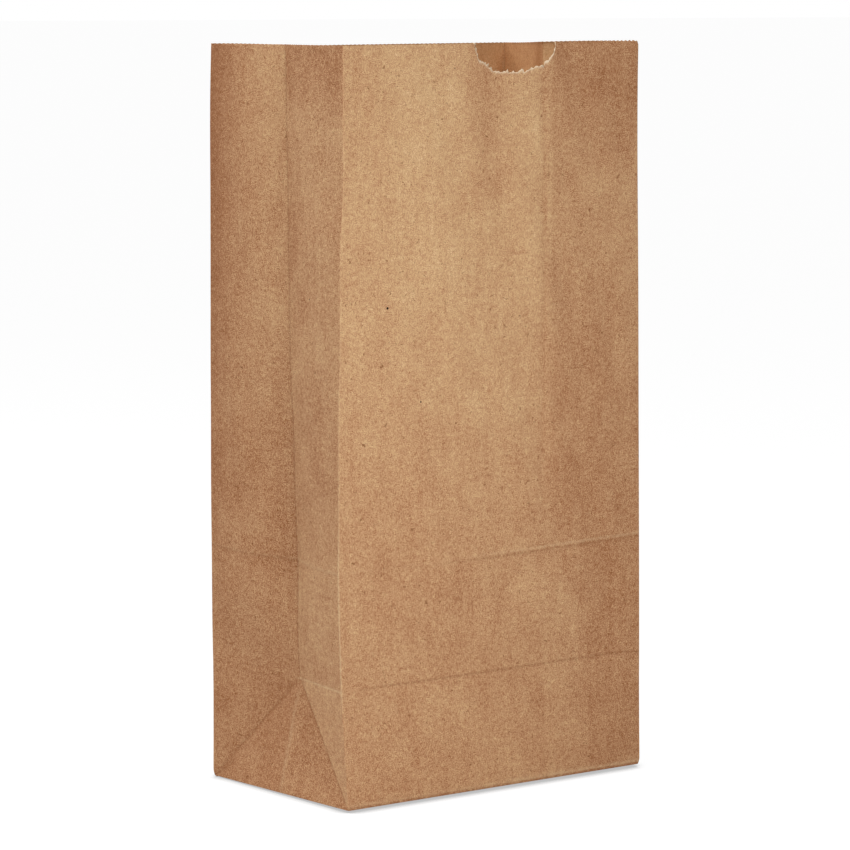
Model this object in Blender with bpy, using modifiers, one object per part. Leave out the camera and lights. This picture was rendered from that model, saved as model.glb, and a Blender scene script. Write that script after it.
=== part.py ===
# Brown paper lunch bag: a block-bottom bag folded and pasted from one tube of paper.
# The origin is the middle of the base, on the surface that the bag stands on.
# The front panel, with the thumb notch, faces -Y, and +Z is up.

import math

import bmesh
import bpy
from mathutils import Vector

# Driving sizes, in metres
WIDTH = 0.127  # front and back panels, corner to corner
DEPTH = 0.0794  # each gusset opened flat, front to back
HEIGHT = 0.252  # from the base fold to the tips of the mouth's teeth
PAPER = 0.00012  # thickness of one ply

# How far each gusset's middle crease is pushed in: at the block bottom's apex, halfway up, at the mouth
LEFT_PUSH = (0.0090, 0.0066, 0.0048)
RIGHT_PUSH = (0.0080, 0.0105, 0.0125)

# How far the standing bag is out of square
FRONT_SWAY = -0.0013  # the front panel's middle height, along X
BACK_SHIFT = 0.0027  # the back panel's mouth, along X
PANEL_BOW = 0.0024  # the front and back panels' bow, outwards
BOW_RUN = 0.8  # share of a whole arch that the bow has run through at the mouth
CREASE_DENT = 0.0009  # depth of the sharp crease across the front panel
FLAP_PRINT = 0.0004  # depth of the line that the flat-folded base left above it
DENT_SHELF = 0.125  # share of the panel's width in which a dent reaches its full depth

# Mouth
TOOTH_PITCH = 0.0018
TOOTH_DEPTH = 0.00045
TOOTH_BAND = 0.004  # the strip below the teeth that takes their points
NOTCH_WIDTH = 0.034
NOTCH_DEPTH = 0.0105
NOTCH_CENTRE = 0.0094  # from the middle of the front panel, along X
NOTCH_SEGMENTS = 40
NOTCH_REACH = 0.008  # how far the notch's cutter stands out on each side of the panel

# Pasted laps
BASE_LAP = 0.016  # overlap of the two long base flaps
SEAM_WIDTH = 0.012  # overlap of the tube's own edges, on the back panel
SEAM_CENTRE = 0.012  # from the middle of the back panel, along X
SEAM_STEP = 0.00025  # width of the step at each edge of that overlap

# How finely the sheet is divided
PANEL_STEPS = 10
GUSSET_STEPS = 5
CREASE_BAND_STEPS = 3
UPPER_STEPS = 9
SEAM_CLEARANCE = 0.02  # share of the back panel's width beside the seam that has no other column

PAPER_COLOUR = (0.520, 0.325, 0.168, 1.0)
PAPER_ROUGHNESS = 0.85

HALF_WIDTH = WIDTH / 2
HALF_DEPTH = DEPTH / 2
FLOOR_TOP = 3 * PAPER  # the floor ply lies on the flaps, and they on the lap
INNER = PAPER  # the sheet is drawn as its inner face, one ply inside the outer sizes
BOND = PAPER / 2  # how deep one pasted ply is let into the next

LEFT, RIGHT = -1, 1
FRONT, BACK = -1, 1


def rising(fraction):
    """A smooth rise from 0 to 1 with level ends."""
    fraction = min(max(fraction, 0.0), 1.0)
    return fraction * fraction * (3 - 2 * fraction)


def gusset_push(side, height):
    """Distance from the side's corner line in to the gusset's middle crease."""
    apex, middle, mouth = LEFT_PUSH if side == LEFT else RIGHT_PUSH
    share = (height - HALF_DEPTH) / (HEIGHT - HALF_DEPTH)
    if share < 0.5:
        return apex + (middle - apex) * max(share, 0.0) * 2
    return middle + (mouth - middle) * (share * 2 - 1)


def upright(side, end, height):
    """Point on one of the four corner folds, at a height along the paper."""
    if height < HALF_DEPTH:
        foot = Vector((side * (HALF_WIDTH - INNER), end * (HALF_DEPTH - INNER), FLOOR_TOP))
        return foot.lerp(upright(side, end, HALF_DEPTH), height / HALF_DEPTH)
    push = gusset_push(side, height)
    x = side * (HALF_WIDTH - INNER)
    if end == FRONT:
        x += FRONT_SWAY * math.sin(math.pi * height / HEIGHT)
    else:
        x += BACK_SHIFT * rising((height - DEPTH) / (HEIGHT - DEPTH))
    y = end * (math.sqrt(HALF_DEPTH ** 2 - push ** 2) - INNER)
    return Vector((x, y, FLOOR_TOP + height))


def middle_crease(side, height):
    """Point on the gusset's middle crease, which starts at the block bottom's apex."""
    push = gusset_push(side, height)
    apex_drop = HALF_DEPTH - math.sqrt(HALF_DEPTH ** 2 - gusset_push(side, HALF_DEPTH) ** 2)
    to_mouth = (height - HALF_DEPTH) / (HEIGHT - HALF_DEPTH)
    corners = (upright(side, FRONT, height) + upright(side, BACK, height)) / 2
    x = corners.x - side * push
    return Vector((x, corners.y, FLOOR_TOP + height - apex_drop * (1 - to_mouth)))


def gusset_point(side, across, height):
    """Point of a gusset; across runs from -1 at the front corner to 1 at the back one."""
    end = FRONT if across < 0 else BACK
    outward = abs(across)
    if height >= HALF_DEPTH:
        return middle_crease(side, height).lerp(upright(side, end, height), outward)
    apex = middle_crease(side, HALF_DEPTH)
    foot = upright(side, end, 0)
    up = height / HALF_DEPTH
    if outward + up <= 1:
        # The triangle on the base edge, below the two slanting folds
        base_middle = (upright(side, FRONT, 0) + upright(side, BACK, 0)) / 2
        return base_middle + (foot - base_middle) * outward + (apex - base_middle) * up
    # The ear between a slanting fold, the corner fold and the crease at the apex
    shoulder = upright(side, end, HALF_DEPTH)
    return shoulder + (foot - shoulder) * (1 - up) + (apex - shoulder) * (1 - outward)


def panel_point(end, x_share, height):
    """Point of the front or back panel; x_share runs from 0 at the left to 1 at the right."""
    left = upright(LEFT, end, height)
    right = upright(RIGHT, end, height)
    point = left.lerp(right, x_share)
    arch = math.sin(math.pi * x_share)
    above = max(height - HALF_DEPTH, 0.0) / (HEIGHT - HALF_DEPTH)
    swell = PANEL_BOW * math.sin(math.pi * BOW_RUN * above) * arch
    if end == FRONT:
        shelf = min(1.0, x_share / DENT_SHELF, (1 - x_share) / DENT_SHELF)
        swell -= CREASE_DENT * shelf * max(0.0, 1 - abs(height - HALF_DEPTH) / HALF_DEPTH)
        swell -= FLAP_PRINT * shelf * max(0.0, 1 - abs(height - DEPTH) / (HALF_DEPTH / 2))
    point.y += end * swell
    return point


def seam_shares():
    """Places across the back panel where the seam's plies start and end."""
    middle = 0.5 + SEAM_CENTRE / WIDTH
    half = SEAM_WIDTH / WIDTH / 2
    step = SEAM_STEP / WIDTH
    return [middle - half - step, middle - half, middle + half, middle + half + step]


def sheet_columns():
    """The lines up the sheet, round the bag from the front left corner: a point maker and plies."""
    columns = []
    for step in range(PANEL_STEPS):
        columns.append((panel_point, FRONT, step / PANEL_STEPS, 1))
    for step in range(2 * GUSSET_STEPS):
        columns.append((gusset_point, RIGHT, step / GUSSET_STEPS - 1, 1))
    seam = seam_shares()
    shares = [1 - step / PANEL_STEPS for step in range(PANEL_STEPS)]
    low, high = seam[0] - SEAM_CLEARANCE, seam[3] + SEAM_CLEARANCE
    clear = [share for share in shares if not low < share < high]
    for share in sorted(clear + seam, reverse=True):
        plies = 2 if seam[1] <= share <= seam[2] else 1
        columns.append((panel_point, BACK, share, plies))
    for step in range(2 * GUSSET_STEPS):
        columns.append((gusset_point, LEFT, 1 - step / GUSSET_STEPS, 1))
    return columns


def sheet_heights():
    """The rows up the sheet: the block bottom, the band to the upper crease, the rest, the teeth."""
    rows = [HALF_DEPTH * step / GUSSET_STEPS for step in range(GUSSET_STEPS)]
    rows += [HALF_DEPTH + HALF_DEPTH * step / CREASE_BAND_STEPS for step in range(CREASE_BAND_STEPS)]
    upper = HEIGHT - TOOTH_BAND - DEPTH
    rows += [DEPTH + upper * step / UPPER_STEPS for step in range(UPPER_STEPS + 1)]
    return rows + [HEIGHT]


def add_cell(bm, column, row, corners):
    """One cell of the sheet; in the block bottom it is split along the slanting folds."""
    maker, place, across, _ = column
    if maker is gusset_point and row < GUSSET_STEPS:
        towards_apex = place * across < 0
        first = 0 if towards_apex else 1
        a, b, c, d = corners[first:] + corners[:first]
        bm.faces.new([a, b, c])
        bm.faces.new([a, c, d])
    else:
        bm.faces.new(corners)


def cut_teeth(rim_edges):
    """Split each edge of the mouth into whole teeth, then draw their roots down."""
    roots = []
    for edge in rim_edges:
        teeth = round(edge.calc_length() / TOOTH_PITCH)
        point = edge.verts[0]
        for part in range(2 * teeth - 1):
            _, point = bmesh.utils.edge_split(edge, point, 1 / (2 * teeth - part))
            if part % 2 == 0:
                roots.append(point)
    for root in roots:
        root.co.z -= TOOTH_DEPTH


def make_sheet(collection):
    """The folded tube with its floor: one open sheet, given its plies by Solidify."""
    bm = bmesh.new()
    plies_layer = bm.verts.layers.deform.verify()
    columns = sheet_columns()
    grid = []
    for height in sheet_heights():
        ring = []
        for maker, place, across, plies in columns:
            vert = bm.verts.new(maker(place, across, height))
            vert[plies_layer][0] = plies / 2
            ring.append(vert)
        grid.append(ring)
    count = len(columns)
    for row in range(len(grid) - 1):
        low, high = grid[row], grid[row + 1]
        for index, column in enumerate(columns):
            after = (index + 1) % count
            add_cell(bm, column, row, [low[index], low[after], high[after], high[index]])
    cut_teeth([bm.edges.get((grid[-1][i], grid[-1][i - 1])) for i in range(count)])
    bm.faces.new(list(reversed(grid[0])))
    bmesh.ops.triangulate(bm, faces=bm.faces[:])
    bmesh.ops.recalc_face_normals(bm, faces=bm.faces[:])
    mesh = bpy.data.meshes.new("paper_bag")
    bm.to_mesh(mesh)
    bm.free()
    bag = bpy.data.objects.new("paper_bag", mesh)
    collection.objects.link(bag)
    bag.vertex_groups.new(name="plies")
    solidify = bag.modifiers.new("plies", "SOLIDIFY")
    solidify.thickness = 2 * PAPER
    solidify.offset = 1
    solidify.use_even_offset = True
    solidify.vertex_group = "plies"
    return bag


def make_plate(name, outline, low, high, collection):
    """A flat ply: an outline in plan, raised from one level to another."""
    bm = bmesh.new()
    face = bm.faces.new([bm.verts.new((x, y, low)) for x, y in outline])
    raised = bmesh.ops.extrude_face_region(bm, geom=[face])
    top = [item for item in raised["geom"] if isinstance(item, bmesh.types.BMVert)]
    bmesh.ops.translate(bm, verts=top, vec=(0, 0, high - low))
    bmesh.ops.recalc_face_normals(bm, faces=bm.faces[:])
    mesh = bpy.data.meshes.new(name)
    bm.to_mesh(mesh)
    bm.free()
    plate = bpy.data.objects.new(name, mesh)
    collection.objects.link(plate)
    return plate


def base_plies(collection):
    """The pasted flaps of the block bottom, outside and inside."""
    edge_x = HALF_WIDTH - BOND
    edge_y = HALF_DEPTH - BOND
    waist = edge_x - edge_y
    # Both long flaps, whose slanting ends leave a triangle bare at each end of the base
    right_ends = [(edge_x, -edge_y), (waist, 0), (edge_x, edge_y)]
    left_ends = [(-edge_x, edge_y), (-waist, 0), (-edge_x, -edge_y)]
    flaps = right_ends + left_ends
    plies = [make_plate("long_flaps", flaps, PAPER, 2 * PAPER + BOND, collection)]
    # The strip where the back flap laps over the front one
    half_lap = BASE_LAP / 2
    narrow, wide = waist - half_lap - BOND, waist + half_lap - BOND
    lap = [(-narrow, -half_lap), (narrow, -half_lap), (wide, half_lap), (-wide, half_lap)]
    plies.append(make_plate("flap_lap", lap, 0, PAPER + BOND, collection))
    # The end flaps, folded in first, which show on the floor inside
    inner_end = waist - half_lap
    for side, name in ((LEFT, "left_end_flap"), (RIGHT, "right_end_flap")):
        xs = sorted((side * inner_end, side * edge_x))
        outline = [(xs[0], -edge_y), (xs[1], -edge_y), (xs[1], edge_y), (xs[0], edge_y)]
        plies.append(make_plate(name, outline, FLOOR_TOP - BOND, FLOOR_TOP + PAPER, collection))
    return plies


def notch_cutter(collection):
    """The half-oval die of the thumb notch, standing through the front panel only."""
    bm = bmesh.new()
    bmesh.ops.create_cone(
        bm, cap_ends=True, segments=NOTCH_SEGMENTS, radius1=NOTCH_WIDTH / 2, radius2=NOTCH_WIDTH / 2,
        depth=2 * NOTCH_REACH,
    )
    bmesh.ops.scale(bm, vec=(1, 2 * NOTCH_DEPTH / NOTCH_WIDTH, 1), verts=bm.verts[:])
    for vert in bm.verts:
        x, z, y = vert.co
        vert.co = (x + NOTCH_CENTRE, -y - HALF_DEPTH, z + FLOOR_TOP + HEIGHT)
    bmesh.ops.recalc_face_normals(bm, faces=bm.faces[:])
    mesh = bpy.data.meshes.new("notch_cutter")
    bm.to_mesh(mesh)
    bm.free()
    cutter = bpy.data.objects.new("notch_cutter", mesh)
    collection.objects.link(cutter)
    return cutter


def combine(bag, tool, operation):
    """Join a ply to the bag, or cut the bag with a die, and keep the tool as a hidden guide."""
    boolean = bag.modifiers.new(tool.name, "BOOLEAN")
    boolean.object = tool
    boolean.operation = operation
    boolean.solver = "EXACT"
    tool.hide_render = True
    tool.display_type = "WIRE"


def paper_material():
    """Unbleached brown bag paper: matt, with no sheen of metal."""
    material = bpy.data.materials.new("brown_bag_paper")
    material.use_nodes = True
    shader = material.node_tree.nodes["Principled BSDF"]
    shader.inputs["Base Color"].default_value = PAPER_COLOUR
    shader.inputs["Roughness"].default_value = PAPER_ROUGHNESS
    shader.inputs["Metallic"].default_value = 0.0
    material.diffuse_color = PAPER_COLOUR
    return material


def new_collection(name):
    collection = bpy.data.collections.new(name)
    bpy.context.scene.collection.children.link(collection)
    return collection


def main():
    for old in list(bpy.data.objects):
        bpy.data.objects.remove(old, do_unlink=True)
    parts = new_collection("paper_lunch_bag")
    tools = new_collection("plies_and_cutters")
    bag = make_sheet(parts)
    bag.data.materials.append(paper_material())
    for ply in base_plies(tools):
        combine(bag, ply, "UNION")
    combine(bag, notch_cutter(tools), "DIFFERENCE")


main()
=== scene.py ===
import math

import bpy
import numpy as np
from mathutils import Matrix, Vector


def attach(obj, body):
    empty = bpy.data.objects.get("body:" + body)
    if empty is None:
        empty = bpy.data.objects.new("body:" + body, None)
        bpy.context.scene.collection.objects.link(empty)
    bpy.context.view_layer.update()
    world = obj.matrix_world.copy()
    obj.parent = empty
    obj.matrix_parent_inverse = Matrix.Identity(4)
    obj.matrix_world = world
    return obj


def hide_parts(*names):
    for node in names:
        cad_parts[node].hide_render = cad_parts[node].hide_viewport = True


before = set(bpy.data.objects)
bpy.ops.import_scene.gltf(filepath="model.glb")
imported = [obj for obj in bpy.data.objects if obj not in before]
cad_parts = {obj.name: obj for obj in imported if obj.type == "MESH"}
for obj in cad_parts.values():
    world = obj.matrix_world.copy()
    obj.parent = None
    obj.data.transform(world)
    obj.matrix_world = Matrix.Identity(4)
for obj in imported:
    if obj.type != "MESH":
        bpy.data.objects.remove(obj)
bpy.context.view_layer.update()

# A brown paper lunch bag, opened and standing on its block bottom.
# Every length below is in millimetres, and the mesh is divided down to metres when it is made.
# The sheet is measured as it lies flat: s runs round the bag from the front left corner, h runs up it.

def linearColour(code):
    # sRGB hex to linear: c / 12.92 below 0.04045, else ((c + 0.055) / 1.055) to the power 2.4
    parts = [int(code[i:i + 2], 16) / 255 for i in (1, 3, 5)]
    return [c / 12.92 if c <= 0.04045 else ((c + 0.055) / 1.055) ** 2.4 for c in parts] + [1.0]


def addNode(tree, kind, settings=None, inputs=None):
    # One node with its own settings. Each input takes a plain value, or a link from a (node, output) pair
    node = tree.nodes.new(kind)
    for name, value in (settings or {}).items():
        setattr(node, name, value)
    for name, value in (inputs or {}).items():
        if isinstance(value, tuple) and isinstance(value[0], bpy.types.Node):
            tree.links.new(value[0].outputs[value[1]], node.inputs[name])
        else:
            node.inputs[name].default_value = value
    return node


# The bag's sheet

bag = {
    "width": 127.0,
    "depth": 79.4,
    "height": 252.0,
    "ply": 0.12,
    "foldRadius": 0.35,
    "floorLevel": 0.57,  # the base is a little tipped, and stands on its back left corner
    "baseTip": (0.0015, -0.006),  # rise of the base along X and along Y
    "tipFades": 110.0,  # h where nothing is left of it
    # (h, how far the gusset's middle crease is pushed in)
    "leftPush": [
        (39.7, 10.4), (50, 9.9), (77, 10.3), (103, 9.2), (127, 8.4), (144, 7.2), (166, 6.6), (187, 6.1),
        (214, 5.1), (237, 4.7), (252, 4.2),
    ],
    "rightPush": [(39.7, 8.0), (100, 9.6), (160, 10.8), (252, 12.5)],
    # (h, how far each corner fold leans along X)
    "frontLeftLean": [
        (0, -0.28), (17, -1.05), (34, -1.6), (41, -1.94), (54, -2.45), (67, -2.7), (103, -2.6), (136, -2.45),
        (147, -2.14), (169, -1.9), (190, -1.5), (202, -0.6), (228, -0.37), (252, -0.2),
    ],
    "frontRightLean": [(0, 0), (40, 0.2), (160, 0.2), (245, 0.3), (252, 0.5)],
    "backLeftLean": [
        (0, 0.3), (26, 0.1), (95, 0.05), (130, 0.57), (165, 1.1), (199, 1.57), (236, 2.05), (252, 2.66),
    ],
    "backRightLean": [(0, 0), (80, 0.05), (166, 1.0), (252, 2.4)],
    "cornerTuck": 0.95,  # how far the foot's corners are rounded in, and the mouth's right ones
    "footTuckHeight": 2.4,
    "mouthTuckHeight": 1.8,
    # (s, how far the crease across the panel lies above its nominal height)
    "upperCrease": [(0, -0.9), (127, 1.8), (206, 1.4), (333, 1.4), (413, -0.9)],
    "lowerCrease": [(0, 0), (120, 0.8), (127, 0), (413, 0)],
    "creaseDent": 0.9,
    "flapPrint": 0.35,
    "flapPrintReach": 12.0,
    "dentShelf": 0.125,  # share of the panel's width in which a dent reaches its full depth
    "panelBow": 2.4,
    "archFrom": 0.08,  # the bow's place on a whole arch at the lower crease, and the share that it runs
    "archSpan": 0.72,
    # Upright flutes of the front: (height, middle, spread, h where it is nothing, h where it is full).
    # The first two run down from the notch, and the others are prints of the two gussets' edges
    "flutes": [
        (0.5, 82, 8, 110, 230), (-0.6, 63, 8, 110, 230),
        (-0.16, 83.2, 1.5, 60, 120), (0.06, 86, 1.3, 60, 120), (-0.08, 39.7, 1.8, 60, 120),
    ],
    # (side, end): how far each half of a gusset stands out
    "gussetBelly": {(-1, -1): 1.2, (-1, 1): 3.2, (1, -1): 1.6, (1, 1): 1.6},
    "bellyRise": 30.0,
    # Slack in the paper: (turns a millimetre along s, the same along h, start in radians)
    "waves": [
        (0.0275, 0.01155, 0.3), (-0.02035, 0.0264, 1.9), (0.05005, 0.0088, 4.1), (0.0154, -0.03905, 2.6),
        (0.06435, 0.02365, 5.2),
    ],
    "waveHeight": 0.44,
    "waveCalm": 14.0,  # the waves are level at a fold and full this far from it
    "waveRise": 20.0,
    "seamFrom": 6.0,  # from the middle of the back panel, along X
    "seamWidth": 12.0,
    "seamStep": 0.25,
    "seamEase": 2.5,
    "backDip": 1.2,  # how far the back of the mouth sags between its corners
    "sagFrom": 12.0,  # the sag begins this far round the right side, and is over at the back left corner,
    "sagEase": 50.0,  # which it nears over this length
}

width, depth, height = bag["width"], bag["depth"], bag["height"]
halfWidth, halfDepth = width / 2, depth / 2
around = 2 * (width + depth)
# The folds along s, after the front right corner at s = width
rightMiddle, backRight = width + halfDepth, width + depth
backLeft, leftMiddle = 2 * width + depth, around - halfDepth


def bump(x, middle, spread):
    # Bell curve: e to the power minus ((x - middle) / spread)²
    return np.exp(-((x - middle) / spread) ** 2)


def ramp(x, zeroAt, oneAt):
    # 3t² - 2t³, where t goes from 0 at one place to 1 at the other, and level outside
    t = np.clip((x - zeroAt) / (oneAt - zeroAt), 0.0, 1.0)
    return t * t * (3 - 2 * t)


def tent(x, reach):
    # 1 at zero, falling straight to 0 at the reach on both sides
    return np.clip(1 - np.abs(x) / reach, 0, 1)


def patchSum(x, h, patches):
    # Sum of bell curves across, each coming in smoothly between two heights
    return sum(
        amount * bump(x, middle, spread) * ramp(h, zeroAt, oneAt)
        for amount, middle, spread, zeroAt, oneAt in patches
    )


def throughPoints(x, points):
    # Smooth line through (place, value) pairs: a cubic on each span, its end slopes the mean of both sides
    place, value = np.array(points, float).T
    slope = np.gradient(value, place)
    i = np.clip(np.searchsorted(place, x) - 1, 0, len(place) - 2)
    span = place[i + 1] - place[i]
    t = np.clip((x - place[i]) / span, 0, 1)
    start = (1 + 2 * t) * (1 - t) ** 2 * value[i] + t * (1 - t) ** 2 * span * slope[i]
    return start + t * t * (3 - 2 * t) * value[i + 1] - t * t * (1 - t) * span * slope[i + 1]


def creasePush(side, h):
    # The push at a height, and below the block bottom's crease the push at that crease
    return throughPoints(np.maximum(h, halfDepth), bag["leftPush"] if side < 0 else bag["rightPush"])


def creaseShift(s, name):
    # Straight lines between the named (s, shift) pairs
    return np.interp(s, *np.array(bag[name], float).T)


def aboveLower(s, h):
    # Height above the block bottom's crease
    return h - halfDepth - creaseShift(s, "lowerCrease")


def aboveUpper(s, h):
    # Height above the crease that the folded base pressed, one depth up the bag
    return h - depth - creaseShift(s, "upperCrease")


def cornerPoint(side, end, h):
    # x = half the width plus the fold's lean; y = root of (half the depth squared less the push squared),
    # since the paper doesn't stretch; below the block bottom's crease y runs straight down to the foot
    name = ("front" if end < 0 else "back") + ("Left" if side < 0 else "Right") + "Lean"
    x = side * halfWidth + throughPoints(h, bag[name])
    if side > 0 or end > 0:
        x = x - side * bag["cornerTuck"] * np.clip(1 - h / bag["footTuckHeight"], 0, 1) ** 2
    if side > 0:
        x = x - bag["cornerTuck"] * np.clip(1 + (h - height) / bag["mouthTuckHeight"], 0, 1) ** 2
    reach = np.sqrt(halfDepth ** 2 - creasePush(side, h) ** 2)
    up = np.clip(h / halfDepth, 0, 1)
    y = end * (halfDepth + (reach - halfDepth) * up)
    tip = (bag["baseTip"][0] * x + bag["baseTip"][1] * y) * ramp(h, bag["tipFades"], 0)
    return np.stack([x, y, bag["floorLevel"] + h + tip], axis=-1)


def middleCrease(side, h):
    # Half way between the side's corners, moved in by the push; it starts lower, at the block bottom's apex
    corners = (cornerPoint(side, -1, h) + cornerPoint(side, 1, h)) / 2
    drop = halfDepth - math.sqrt(halfDepth ** 2 - float(creasePush(side, np.array(halfDepth))) ** 2)
    corners[..., 0] -= side * creasePush(side, h)
    corners[..., 2] -= drop * (1 - (h - halfDepth) / (height - halfDepth))
    return corners


def softCap(t):
    # Rises as t and levels off at 1, with a rounded shoulder: (t + 1 - root of ((t - 1)² + 0.02)) / 2
    return (t + 1 - np.sqrt((t - 1) ** 2 + 0.02)) / 2


def panelBow(x, h):
    # Three nearly flat facets, divided where the flat bag's gusset edges pressed; highest half way up
    above = np.clip((h - halfDepth) / (height - halfDepth), 0, 1)
    facets = softCap(x / halfDepth) + softCap((width - x) / halfDepth) - 1
    arch = np.sin(math.pi * (bag["archFrom"] + bag["archSpan"] * above))
    return bag["panelBow"] * arch * facets * ramp(h, 0, halfDepth)


def frontSwell(share, h):
    # Outward shape of the front panel: its bow, the dents of its two creases across, and its flutes
    x = share * width
    shelf = np.clip(np.minimum(share, 1 - share) / bag["dentShelf"], 0, 1)
    dents = bag["creaseDent"] * tent(aboveLower(x, h), halfDepth)
    dents = dents + bag["flapPrint"] * tent(aboveUpper(x, h), bag["flapPrintReach"])
    return panelBow(x, h) - shelf * dents + patchSum(x, h, bag["flutes"])


def backSwell(share, h):
    # The back's bow, and its pasted seam: one ply up at the cut edge, easing off where the hidden edge ends
    x = (share - 0.5) * width - bag["seamFrom"]
    seam = ramp(x, 0, bag["seamStep"]) * ramp(x, bag["seamWidth"] + bag["seamEase"], bag["seamWidth"])
    return panelBow(share * width, h) + bag["ply"] * seam


def panelPoint(end, share, h):
    # Straight between the two corner folds, plus the panel's outward swell
    left, right = cornerPoint(-1, end, h), cornerPoint(1, end, h)
    point = left + (right - left) * share[..., None]
    point[..., 1] += end * (frontSwell(share, h) if end < 0 else backSwell(share, h))
    return point


def gussetPoint(side, across, h):
    # Above the block bottom: straight from the middle crease to the corner fold, plus a soft belly.
    # Below it: a triangle on the base edge, and outside the slanting folds two ears, all flat
    outward = np.abs(across)[..., None]
    atFront = (across < 0)[..., None]

    def cornerAt(level):
        return np.where(atFront, cornerPoint(side, -1, level), cornerPoint(side, 1, level))

    crease = middleCrease(side, h)
    upper = crease + (cornerAt(h) - crease) * outward
    fullness = np.where(across < 0, bag["gussetBelly"][side, -1], bag["gussetBelly"][side, 1])
    arch = np.sin(math.pi * np.clip(np.abs(across), 0, 1))
    upper[..., 0] += side * fullness * arch * ramp(h, halfDepth, halfDepth + bag["bellyRise"])
    zero, crown = np.zeros_like(h), np.full_like(h, halfDepth)
    foot, shoulder, apex = cornerAt(zero), cornerAt(crown), middleCrease(side, crown)
    base = (cornerPoint(side, -1, zero) + cornerPoint(side, 1, zero)) / 2
    up = np.clip(h / halfDepth, 0, 1)[..., None]
    triangle = base + (foot - base) * outward + (apex - base) * up
    ear = shoulder + (foot - shoulder) * (1 - up) + (apex - shoulder) * (1 - outward)
    lower = np.where(outward + up <= 1, triangle, ear)
    return np.where((h >= halfDepth)[..., None], upper, lower)


def softWaves(s, h):
    # Slack in the paper: the mean of slow sine waves, levelled out near each fold and at the block bottom
    waves = [np.sin(2 * math.pi * (a * s + b * h) + start) for a, b, start in bag["waves"]]
    folds = np.array([0, width, rightMiddle, backRight, backLeft, leftMiddle, around])
    gap = np.min(np.abs(s[..., None] - folds), axis=-1)
    share = ramp(gap, 0, bag["waveCalm"]) * ramp(h, halfDepth, halfDepth + bag["waveRise"])
    return bag["waveHeight"] * sum(waves) / len(waves) * share


def sheetPoint(s, h):
    # The four sides in turn; below the base fold the sheet turns in under the floor, toward the middle
    s = np.mod(s, around)
    level = np.maximum(h, 0.0)
    side = np.digitize(s, [width, backRight, backLeft])
    places = [
        panelPoint(-1, s / width, level),
        gussetPoint(1, (s - width) / halfDepth - 1, level),
        panelPoint(1, 1 - (s - backRight) / width, level),
        gussetPoint(-1, 1 - (s - backLeft) / halfDepth, level),
    ]
    outwards = np.array([(0, -1, 0), (1, 0, 0), (0, 1, 0), (-1, 0, 0)], float)
    point = np.choose(side[..., None], places) + outwards[side] * softWaves(s, level)[..., None]
    turned = np.maximum(-h, 0.0)
    point[..., 0] *= 1 - turned / halfWidth
    point[..., 1] *= 1 - turned / halfDepth
    return point


def foldedPoint(s, h):
    # Folds have a small radius: the mean of nine nearby points, weighted 1, 2, 1 each way
    radius = bag["foldRadius"]
    weights = ((-radius, 0.25), (0, 0.5), (radius, 0.25))
    return sum(a * b * sheetPoint(s + ds, h + dh) for ds, a in weights for dh, b in weights)


# The sheet's grid: closer next to the folds than between them

grid = {
    "foldSteps": [0.25, 0.25, 0.3, 0.5, 0.8, 1.1, 1.4],  # first spacings beside a fold
    "creaseSteps": [0.25, 0.35, 0.6, 1.0, 1.6],  # and beside a crease across the bag
    "blockSpacing": 1.45,
    "frontSpacing": 1.8,
    "backSpacing": 2.6,
    "bandSpacing": 2.4,
    "printColumns": [82.0, 82.6, 83.2, 83.8, 84.4],  # over the print of the right gusset's edge
    "seamColumns": [0.2, 0, -0.13, -0.25, -0.5],  # about the seam's cut edge
    "turnedRows": [-1.4, -0.6, -0.25],  # under the base fold
    "upperRows": 58,
    "topMargin": 4.5,  # from the last of them to the mouth
    "creaseReach": 30.0,  # rows this near a tilted crease move with it
    "notchReach": 25.0,  # and this far below the mouth they bend round the notch
}


def fineAtEnds(length, steps, inner):
    # Places from 0 to a length: close together at both ends, then an even spacing between
    ends = np.cumsum([0] + steps)
    count = max(2, round((length - 2 * ends[-1]) / inner))
    middle = np.linspace(ends[-1], length - ends[-1], count + 1)
    return np.concatenate([ends[:-1], middle, length - ends[:-1][::-1]])


def panelPlaces(spacing, extra):
    # A panel's own columns and the extra ones, in order, each once
    return np.unique(np.round(np.concatenate([fineAtEnds(width, grid["foldSteps"], spacing), extra]), 3))


blockRows = fineAtEnds(halfDepth, grid["foldSteps"], grid["blockSpacing"])
frontPlaces = panelPlaces(grid["frontSpacing"], grid["printColumns"])
seamPlaces = halfWidth - bag["seamFrom"] + np.array(grid["seamColumns"])
backPlaces = panelPlaces(grid["backSpacing"], seamPlaces)
# Across a gusset the columns mirror the block bottom's rows, so its slanting folds run through grid corners
gussetPlaces = np.concatenate([halfDepth - blockRows[::-1], halfDepth + blockRows[1:]])
columns = np.concatenate([
    frontPlaces[:-1], width + gussetPlaces[:-1], backRight + backPlaces[:-1], backLeft + gussetPlaces[:-1],
])
bandRows = halfDepth + fineAtEnds(halfDepth, grid["creaseSteps"], grid["bandSpacing"])
aboveCrease = np.cumsum([0] + grid["creaseSteps"])
evenRows = np.linspace(aboveCrease[-1], height - grid["topMargin"] - depth, grid["upperRows"])
highRows = depth + np.concatenate([aboveCrease[:-1], evenRows])
rows = np.concatenate([grid["turnedRows"], blockRows[:-1], bandRows[:-1], highRows])
print("sheet columns", len(columns), "rows", len(rows))

# The cut and torn edge of the mouth

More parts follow.
